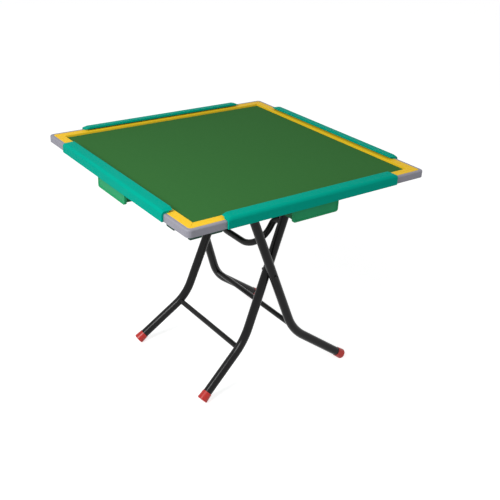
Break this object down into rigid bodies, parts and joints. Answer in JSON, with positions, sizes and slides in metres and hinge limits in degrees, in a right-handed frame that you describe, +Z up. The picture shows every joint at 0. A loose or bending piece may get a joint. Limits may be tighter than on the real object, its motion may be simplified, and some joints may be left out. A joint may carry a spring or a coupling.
{
  "type": "folding mahjong table with drawers",
  "caption": "Square folding game table: felt field in a yellow border, teal edge rails, grey corner guards, a small drawer in each side and crossed steel tube legs that fold flat.",
  "frame": {"origin": "on the floor under the centre of the table top", "axes": "+X along the front side to the right, +Y from front to back, +Z up"},
  "size_m": [0.864, 0.864, 0.7633],
  "materials": {
    "field_felt": "fine green table felt",
    "green_board": "painted board, dark green below",
    "yellow_plastic": "moulded, satin",
    "teal_plastic": "moulded, glossy",
    "grey_plastic": "moulded, satin",
    "dark_rubber": "moulded",
    "drawer_face_plastic": "moulded, satin",
    "drawer_tray_plastic": "moulded",
    "housing_plastic": "moulded",
    "zinc_steel": "zinc plated",
    "nylon": "moulded nylon",
    "red_rubber": "moulded",
    "black_enamel": "glossy baked enamel on steel tube"
  },
  "bodies": {
    "table_top": {"top_panel": "green_board", "playing_mat": "field_felt", "bumper_pads": "dark_rubber", "guard_screws": "zinc_steel", "housing_screws": "zinc_steel", "guide_screws": "zinc_steel", "back_border_strip": "yellow_plastic", "left_border_strip": "yellow_plastic", "front_border_strip": "yellow_plastic", "right_border_strip": "yellow_plastic", "back_edge_rail": "teal_plastic", "left_edge_rail": "teal_plastic", "front_edge_rail": "teal_plastic", "right_edge_rail": "teal_plastic", "back_right_corner_guard": "grey_plastic", "back_left_corner_guard": "grey_plastic", "front_left_corner_guard": "grey_plastic", "front_right_corner_guard": "grey_plastic", "back_drawer_housing": "housing_plastic", "left_drawer_housing": "housing_plastic", "front_drawer_housing": "housing_plastic", "right_drawer_housing": "housing_plastic", "outer_guide_front": "zinc_steel", "outer_guide_back": "zinc_steel", "inner_guide_front": "zinc_steel", "inner_guide_back": "zinc_steel"},
    "outer_glides": {"outer_glide_front": "nylon", "outer_glide_back": "nylon", "outer_glide_pins": "zinc_steel"},
    "outer_frame": {"outer_leg_front": "black_enamel", "outer_leg_back": "black_enamel", "outer_cross_tube": "black_enamel", "outer_foot_cap_front": "red_rubber", "outer_foot_cap_back": "red_rubber", "scissor_bolts": "black_enamel", "scissor_nuts": "black_enamel", "scissor_spacers": "nylon"},
    "inner_frame": {"inner_leg_front": "black_enamel", "inner_leg_back": "black_enamel", "inner_cross_tube": "black_enamel", "hoop_brace": "black_enamel", "inner_foot_cap_front": "red_rubber", "inner_foot_cap_back": "red_rubber"},
    "inner_glides": {"inner_glide_front": "nylon", "inner_glide_back": "nylon", "inner_glide_pins": "zinc_steel"},
    "back_drawer": {"back_drawer_tray": "drawer_tray_plastic", "back_drawer_face": "drawer_face_plastic", "back_drawer_screws": "zinc_steel"},
    "left_drawer": {"left_drawer_tray": "drawer_tray_plastic", "left_drawer_face": "drawer_face_plastic", "left_drawer_screws": "zinc_steel"},
    "front_drawer": {"front_drawer_tray": "drawer_tray_plastic", "front_drawer_face": "drawer_face_plastic", "front_drawer_screws": "zinc_steel"},
    "right_drawer": {"right_drawer_tray": "drawer_tray_plastic", "right_drawer_face": "drawer_face_plastic", "right_drawer_screws": "zinc_steel"}
  },
  "joints": [
    {"name": "leg_fold", "type": "hinge", "parent": "outer_glides", "child": "outer_frame", "pos_m": [-0.0744, 0, 0.693], "axis": [0, -1, 0], "range_deg": [0, 58]},
    {"name": "outer_glide_slide", "type": "slide", "parent": "table_top", "child": "outer_glides", "axis": [-1, 0, 0], "range_m": [0, 0.23839]},
    {"name": "scissor_pivot", "type": "hinge", "parent": "outer_frame", "child": "inner_frame", "pos_m": [0.0349, 0, 0.3927], "axis": [0, 1, 0], "range_deg": [0, 116.2]},
    {"name": "inner_glide_tilt", "type": "hinge", "parent": "inner_frame", "child": "inner_glides", "pos_m": [0.1442, 0, 0.693], "axis": [0, -1, 0], "range_deg": [0, 58.2]},
    {"name": "back_drawer_slide", "type": "slide", "parent": "table_top", "child": "back_drawer", "axis": [0, 1, 0], "range_m": [0, 0.15]},
    {"name": "left_drawer_slide", "type": "slide", "parent": "table_top", "child": "left_drawer", "axis": [-1, 0, 0], "range_m": [0, 0.15]},
    {"name": "front_drawer_slide", "type": "slide", "parent": "table_top", "child": "front_drawer", "axis": [0, -1, 0], "range_m": [0, 0.15]},
    {"name": "right_drawer_slide", "type": "slide", "parent": "table_top", "child": "right_drawer", "axis": [1, 0, 0], "range_m": [0, 0.15]}
  ],
  "couplings": [
    {"joint": "outer_glide_slide", "follows": "leg_fold", "m_per_rad": 0.2353},
    {"joint": "scissor_pivot", "follows": "leg_fold", "ratio": 2},
    {"joint": "inner_glide_tilt", "follows": "leg_fold", "ratio": 1}
  ]
}
